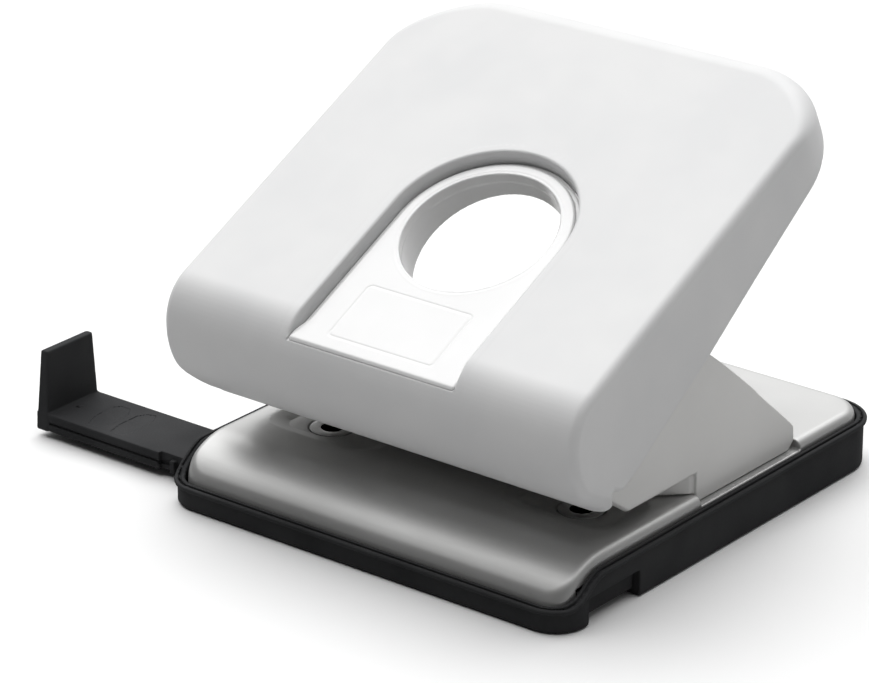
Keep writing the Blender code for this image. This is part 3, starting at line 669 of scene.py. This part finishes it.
def frame_field(x, y, z):
    ax = np.abs(x)
    f = inter(plate_outline(y, z), slab(ax, 57.3, 59.3), 0.3)
    f = union(f, inter(web_outline(y, z), ax - 58.0, 0.0), 1.2)
    f = union(f, np.maximum(stop_outline(x, y), slab(z, 15.8, 22.0)), 0.5)
    f = union(f, np.maximum(floor_outline(x, y), slab(z, 15.8, 17.8)), 1.0)
    f = np.maximum(f, -np.maximum(np.hypot(y - PIVOT_Y, z - PIVOT_Z) - 5.3, 0 * x))
    f = inter(f, 3.05 - np.hypot(ax - PIN_X, y - PIN_Y), 0.2)
    for rx, ry in RIVETS.values():
        f = np.maximum(f, 2.4 - np.hypot(x - rx, y - ry))
    return np.maximum(f, 13.3 - z)


pressing = contour("frame_pressing", frame_field, (-59.3, -57.2, 13.3), (59.3, 34.4, 54.4), 0.5 if FINE else 0.8)
dress(pressing, PAINT, "base", "grey_painted_steel", "punch_frame")

for key, (rx, ry) in RIVETS.items():
    top = 18.1
    dome = [(0, top + 1.8), (1.5, top + 1.74), (2.7, top + 1.45), (3.6, top + 0.9), (4.0, top + 0.25), (4.0, top)]
    line = dome + [(2.1, top), (2.1, 14.0), (3.4, 14.0), (3.4, 13.0), (3.1, 12.7), (0, 12.7)]
    o = lathe("rivet_" + key, line, (rx, ry, 0), "Z", 40)
    dress(o, BRIGHT, "base", "bright_steel", "frame_rivet_" + key)

for s, word in ((-1, "left"), (1, "right")):
    cx = s * PIN_X

    def bridge(x, y, z, cx=cx):
        f = block(x, y, z, cx - 12, cx + 12, -36.5, -23.5, 20.0, 30.0, 1.6)
        f = minus(f, block(x, y, z, cx - 9, cx + 9, -60, 0, 10.0, 27.8, 0.8), 0.2)
        f = inter(f, 3.05 - np.hypot(x - cx, y - PIN_Y), 0.3)
        return np.maximum(f, 23.5 - z)
    o = contour("pin_bridge_" + word, bridge, (cx - 12, -36.5, 23.5), (cx + 12, -23.5, 30), 0.3 if FINE else 0.5)
    dress(o, BRIGHT, "base", "bright_steel", "pin_guide_" + word)
    o = lathe("washer_" + word, fillet([(3.05, 30.3), (6.0, 30.3), (6.0, 31.1), (3.05, 31.1)], 0.2), (cx, PIN_Y, 0), "Z", 56)
    dress(o, BRIGHT, "base", "bright_steel", "spring_washer_" + word)
    o = lathe("pin_" + word, [(0, 22.3), (1.2, 22.1), (2.3, 21.5), (2.75, 21.4)] + [(2.75, 44.0), (2.9, 44.2)]
              + fillet([(3.0, 44.2), (5.5, 44.2), (5.5, 46.7), (3.0, 46.7)], 0.5)[3:17] + [(0, 46.7)], (cx, PIN_Y, 0), "Z", 56)
    dress(o, GROUND, "pin_" + word, "hardened_steel", "punch_pin_" + word)
    # return spring, closed and ground at both ends
    z0, z1, wire, mean = 31.4, 43.9, 0.45, 4.35
    bm = bmesh.new()
    turns, per, sides = 5.2, 40, 12
    n = int(turns * per)
    rings = []
    for i in range(n + 1):
        t = i / n
        a = 2 * math.pi * turns * t
        rise = float(step01(np.array((t - 0.04) / 0.92))) * 0.25 + 0.75 * min(1.0, max(0.0, (t - 0.08) / 0.84))
        z = z0 + wire + (z1 - z0 - 2 * wire) * rise
        rad = Vector((math.cos(a), math.sin(a), 0))
        ring = [bm.verts.new((Vector((cx, PIN_Y, z)) + rad * (mean + wire * math.cos(2 * math.pi * j / sides))
                              + Vector((0, 0, wire * math.sin(2 * math.pi * j / sides)))) * MM) for j in range(sides)]
        rings.append(ring)
    for a, b in zip(rings, rings[1:]):
        for j in range(sides):
            bm.faces.new((a[j], a[(j + 1) % sides], b[(j + 1) % sides], b[j]))
    bm.faces.new(rings[0])
    bm.faces.new(list(reversed(rings[-1])))
    bmesh.ops.recalc_face_normals(bm, faces=bm.faces)
    mesh = bpy.data.meshes.new("coil_" + word)
    bm.to_mesh(mesh)
    bm.free()
    mesh.shade_smooth()
    coil = bpy.data.objects.new("coil_" + word, mesh)
    bpy.context.scene.collection.objects.link(coil)
    dress(coil, WIRE, "base", "spring_steel", "return_spring_" + word)
    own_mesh(coil)
    o = lathe("die_" + word, fillet([(3.05, 10.7), (7.6, 10.7), (7.6, 12.4), (6.0, 12.4), (6.0, 13.9), (3.05, 13.9)], 0.15),
              (cx, PIN_Y, 0), "Z", 64)
    dress(o, GROUND, "base", "hardened_steel", "die_bush_" + word)
    lo = s * 57.0
    prof = [(4.3, 0), (4.3, s * 3.4), (5.0, s * 3.4), (5.0, s * 1.1), (6.6, s * 1.1), (6.6, 0)]
    o = lathe("bush_" + word, fillet(prof, 0.15), (s * 55.9, PIVOT_Y, PIVOT_Z), "X", 56)
    dress(o, BRONZE, "base", "sintered_bronze", "pivot_bush_" + word)


# ------------------------------------------------------------------ paper guide
field_a = polygon(soften([(-102.1, -56.6), (-104.4, -50.0), (-104.4, -41.7), (-97.9, -41.7), (-96.0, -55.6), (-102.1, -56.6)], 1))
field_b = polygon(soften([(-94.1, -56.5), (-95.6, -50.0), (-95.3, -42.1), (-89.8, -40.4), (-88.3, -55.7), (-94.1, -56.5)], 1))
upright_side = polygon([(-58.3, 1.9), (-38.3, 1.9), (-40.0, 24.5), (-57.6, 24.5)])


def guide_field(x, y, z):
    bar = block(x, y, z, -118.1, 61.9, -58.3, -38.3, 1.9, 6.8, 0.35)
    bar = np.maximum(bar, -block(x, y, z, -75.0, 90, -66, -57.1, 0, 20, 0.2))
    # long grooves in the front edge
    bar = np.maximum(bar, -block(x, y, z, -114, 90, -60, -57.7, 3.9, 4.5, 0.1))
    bar = np.maximum(bar, -block(x, y, z, -75.5, 90, -60, -56.5, 3.3, 4.4, 0.1))
    # catch teeth just behind the jog
    bar = union(bar, block(x, y, z, -71.4, -69.8, -58.3, -56.6, 1.9, 5.4, 0.2), 0.1)
    taper = step01((z - 6.0) / 18.5)
    t = (z - 1.9) / 22.6
    wall = np.maximum(-(x + 118.5) + 1.9 * t * 0.98, x + 114.3)
    wall = inter(inter(upright_side(y, z), wall, 0.5), z - 24.5, 0.6)
    f = union(bar, wall, 0.5)
    foot = np.maximum(np.hypot(y + 48.3, z - 3.0) - 2.4, slab(x, -116.6, -113.6))
    f = union(f, foot, 0.2)
    # marking fields with a fine raised border, the small raised dot
    for g in (field_a, field_b):
        d = g(x, y)
        f = np.maximum(f, -np.maximum(d, 6.62 - z))
        f = np.minimum(f, np.maximum(np.abs(d) - 0.16, slab(z, 6.0, 6.8)))
    f = np.minimum(f, np.maximum(np.hypot(x + 111.3, y + 49.1) - 0.8, slab(z, 6.0, 7.05)))
    return f


guide = contour("guide_bar", guide_field, (-118.5, -58.3, 0.6), (61.9, -38.3, 24.5), 0.42 if FINE else 0.7)
dress(guide, BLACK, "guide", "black_plastic", "paper_guide")

# ------------------------------------------------------------------ floor, light, camera
bm = bmesh.new()
size = 12.0
for x, y in ((-size, -size), (size, -size), (size, size), (-size, size)):
    bm.verts.new((x, y, -0.0002))
bm.faces.new(bm.verts)
mesh = bpy.data.meshes.new("floor")
bm.to_mesh(mesh)
bm.free()
floor = bpy.data.objects.new("floor", mesh)
bpy.context.scene.collection.objects.link(floor)
mat, nt, bsdf = new_material("pale_floor")
coord = node(nt, "ShaderNodeTexCoord").outputs["Object"]
tint = ramp(nt, noise(nt, coord, 3.0, 2.0), [(0.4, (0.84, 0.84, 0.84)), (0.6, (0.85, 0.85, 0.85))])
# a pale floor that throws back less light than it shows, as a cut-out studio background does
seen = nt.nodes.new("ShaderNodeMapRange")
seen.inputs["To Min"].default_value, seen.inputs["To Max"].default_value = 0.62, 1.0
nt.links.new(nt.nodes.new("ShaderNodeLightPath").outputs["Is Camera Ray"], seen.inputs["Value"])
shade = nt.nodes.new("ShaderNodeVectorMath")
shade.operation = "SCALE"
nt.links.new(tint, shade.inputs[0])
nt.links.new(seen.outputs["Result"], shade.inputs["Scale"])
nt.links.new(shade.outputs[0], bsdf.inputs["Base Color"])
bsdf.inputs["Roughness"].default_value = 0.9
bsdf.inputs["Specular IOR Level"].default_value = 0.1
floor.data.materials.append(mat)

world = bpy.data.worlds.new("studio")
bpy.context.scene.world = world
world.use_nodes = True
nt = world.node_tree
bg = nt.nodes["Background"]
gen = nt.nodes.new("ShaderNodeTexCoord").outputs["Generated"]


def lobe(direction, lo, hi, level):
    """Light from around one direction, fading between two cosines."""
    dot = nt.nodes.new("ShaderNodeVectorMath")
    dot.operation = "DOT_PRODUCT"
    nt.links.new(gen, dot.inputs[0])
    dot.inputs[1].default_value = Vector(direction).normalized()
    m = nt.nodes.new("ShaderNodeMapRange")
    m.interpolation_type = "SMOOTHSTEP"
    m.inputs["From Min"].default_value, m.inputs["From Max"].default_value = lo, hi
    m.inputs["To Min"].default_value, m.inputs["To Max"].default_value = 0.0, level
    nt.links.new(dot.outputs["Value"], m.inputs["Value"])
    return m.outputs["Result"]


def add(a, b):
    n = nt.nodes.new("ShaderNodeMath")
    n.operation = "ADD"
    nt.links.new(a, n.inputs[0])
    if isinstance(b, float):
        n.inputs[1].default_value = b
    else:
        nt.links.new(b, n.inputs[1])
    return n.outputs[0]


light = add(lobe((-0.25, 0.20, 0.95), 0.64, 0.90, 2.9), lobe((-0.58, 0.78, 0.25), 0.25, 0.85, 0.62))
light = add(light, lobe((0.95, 0.35, 0.3), 0.3, 0.95, 0.20))
light = add(light, 0.05)
nt.links.new(light, bg.inputs["Strength"])
bg.inputs["Color"].default_value = (1, 1, 1, 1)


camera = bpy.data.cameras.new("camera")
camera.sensor_width = 36.0
camera.lens = 36.0 * 4302.0 / 869.0
camera.clip_start, camera.clip_end = 0.05, 60.0
cam = bpy.data.objects.new("camera", camera)
right = Vector((0.78159, 0.62379, 0.0)).normalized()
forward = Vector((-0.57578, 0.72144, -0.38471)).normalized()
up = right.cross(forward).normalized()
cam.matrix_world = Matrix(((right.x, up.x, -forward.x, 0.6128), (right.y, up.y, -forward.y, -0.8060),
                           (right.z, up.z, -forward.z, 0.4602), (0, 0, 0, 1)))
bpy.context.scene.collection.objects.link(cam)
bpy.context.scene.camera = cam

bpy.context.view_layer.update()
